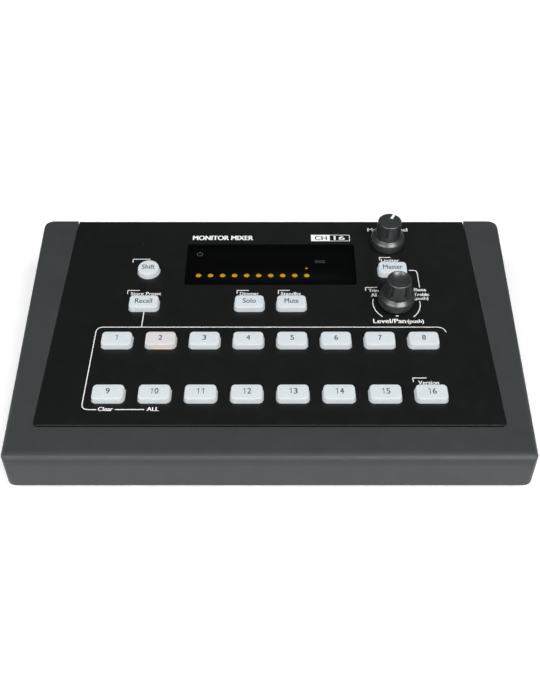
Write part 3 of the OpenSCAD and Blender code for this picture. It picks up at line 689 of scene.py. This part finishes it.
def window_legends():
    face = panel_box("display_window")[1].z
    marks = bmesh.new()
    letters(marks, "SIG", 20.9, 93.4, 4.7, 1.8, z=face)
    stroke(marks, arc_path((-33.7, 98.4), 1.25, 35, 325), 0.3, face)
    stroke(marks, [Vector((-33.7, 98.5)), Vector((-33.7, 100.1))], 0.3, face)
    add_piece("window_marks", marks, "legend_dim", "housing")


# Words on the keys and how wide they are
KEY_WORDS = {"key_recall": ("Recall", 7.6), "key_solo": ("Solo", 5.9), "key_mute": ("Mute", 6.3),
             "key_master": ("Master", 9.1), "key_shift": ("Shift", 6.0)}
DIGIT_W = 1.65
DIGIT_GAP = 0.45
DIGIT_H = 2.75


def key_legend(name):
    low, high = panel_box(name)
    x, y = (low.x + high.x) / 2, (low.y + high.y) / 2 + 0.3
    ink = bmesh.new()
    if name in KEY_WORDS:
        text, width = KEY_WORDS[name]
        letters(ink, text, x - width / 2, y, width, DIGIT_H, z=high.z, weight=0.03)
    else:
        number = name.split("_")[1]
        start = x - (len(number) * (DIGIT_W + DIGIT_GAP) - DIGIT_GAP) / 2
        for i, digit in enumerate(number):
            left = start + i * (DIGIT_W + DIGIT_GAP)
            if digit == "1":
                stem = left + 0.68 * DIGIT_W
                foot, head = y - DIGIT_H / 2, y + DIGIT_H / 2
                stroke(ink, [Vector((stem, foot)), Vector((stem, head))], 0.28, high.z)
                stroke(ink, [Vector((stem + 0.1, head - 0.1)), Vector((stem - 0.35, head - 0.42)),
                             Vector((stem - 0.75, head - 0.6))], 0.24, high.z + 0.002)
            else:
                letters(ink, digit, left, y, DIGIT_W, DIGIT_H, z=high.z, weight=0.03)
    add_piece(name + "_print", ink, "key_ink", BODY_OF[name])


# ---------------------------------------------------------------------------------------------
# Light and floor
FLOOR_HALF = 3.0       # m
FLOOR_Z = -0.0002


def add_floor():
    bm = bmesh.new()
    corners = ((-1, -1), (1, -1), (1, 1), (-1, 1))
    bm.faces.new([bm.verts.new((FLOOR_HALF * x, FLOOR_HALF * y, FLOOR_Z)) for x, y in corners])
    mesh = bpy.data.meshes.new("floor")
    bm.to_mesh(mesh)
    bm.free()
    mat, _ = principled("floor", Base_Color=(0.9, 0.9, 0.9), Roughness=0.8,
                        Emission_Color=(1.0, 1.0, 1.0), Emission_Strength=0.25)
    mesh.materials.append(mat)
    floor = bpy.data.objects.new("floor", mesh)
    bpy.context.scene.collection.objects.link(floor)


def add_area_light(name, place, aim, size, power, spread=180):
    light = bpy.data.lights.new(name, "AREA")
    light.shape = "RECTANGLE"
    light.size, light.size_y = size
    light.energy = power
    light.spread = math.radians(spread)
    holder = bpy.data.objects.new(name, light)
    bpy.context.scene.collection.objects.link(holder)
    holder.location = place
    holder.rotation_euler = (Vector(aim) - Vector(place)).to_track_quat("-Z", "Y").to_euler()


def add_lights():
    bpy.context.scene.view_settings.view_transform = "Standard"
    world = bpy.data.worlds.new("studio")
    world.use_nodes = True
    world.node_tree.nodes["Background"].inputs["Color"].default_value = (0.9, 0.95, 1.0, 1)
    world.node_tree.nodes["Background"].inputs["Strength"].default_value = 0.05
    bpy.context.scene.world = world
    add_area_light("key_light", (0.65, -1.05, 1.35), (0, 0, 0), (1.0, 0.7), 31)
    add_area_light("fill_light", (-0.75, -1.05, 1.25), (0, 0, 0), (1.0, 0.7), 20)
    add_area_light("rear_light", (0.3, 1.6, 0.7), (0, 0, 0), (1.2, 0.5), 1.5)
    add_area_light("floor_light", (0, 1.9, 1.6), (0, 1.9, 0), (3.4, 1.6), 60, 70)


# ---------------------------------------------------------------------------------------------
MATERIALS = make_materials()
for name, part in frame["nodes"].items():
    part.data.materials.clear()
    part.data.materials.append(MATERIALS[SLOT_OF[name]])

add_camera()
add_lights()
add_floor()

softened("lower_housing", 0.8, 4, 40)
softened("top_panel", 0.15, 2)
for name in ("network_socket", "dc_inlet", "data_port", "headphone_jack", "line_jack",
             "small_headphone_jack", "aux_jack", "jack_nuts", "rubber_feet", "stand_insert"):
    softened(name, 0.2)
for name in sorted(n for n in frame["nodes"] if n.startswith("key_") and BODY_OF[n] == n + "_cap"):
    key_cap(name, "key_lit" if name == "key_2" else "key_translucent")
    key_legend(name)
knob("level_knob", "level_pot_shaft", LEVEL_SLOT_TURN, False)
pointer("level_knob", POINTER_TURN)
knob("encoder_knob", "encoder_shaft", ENCODER_SLOT_TURN, True)
lit_edge("key_2")
window_plate()
lamp_lenses()
panel_legends()
window_legends()
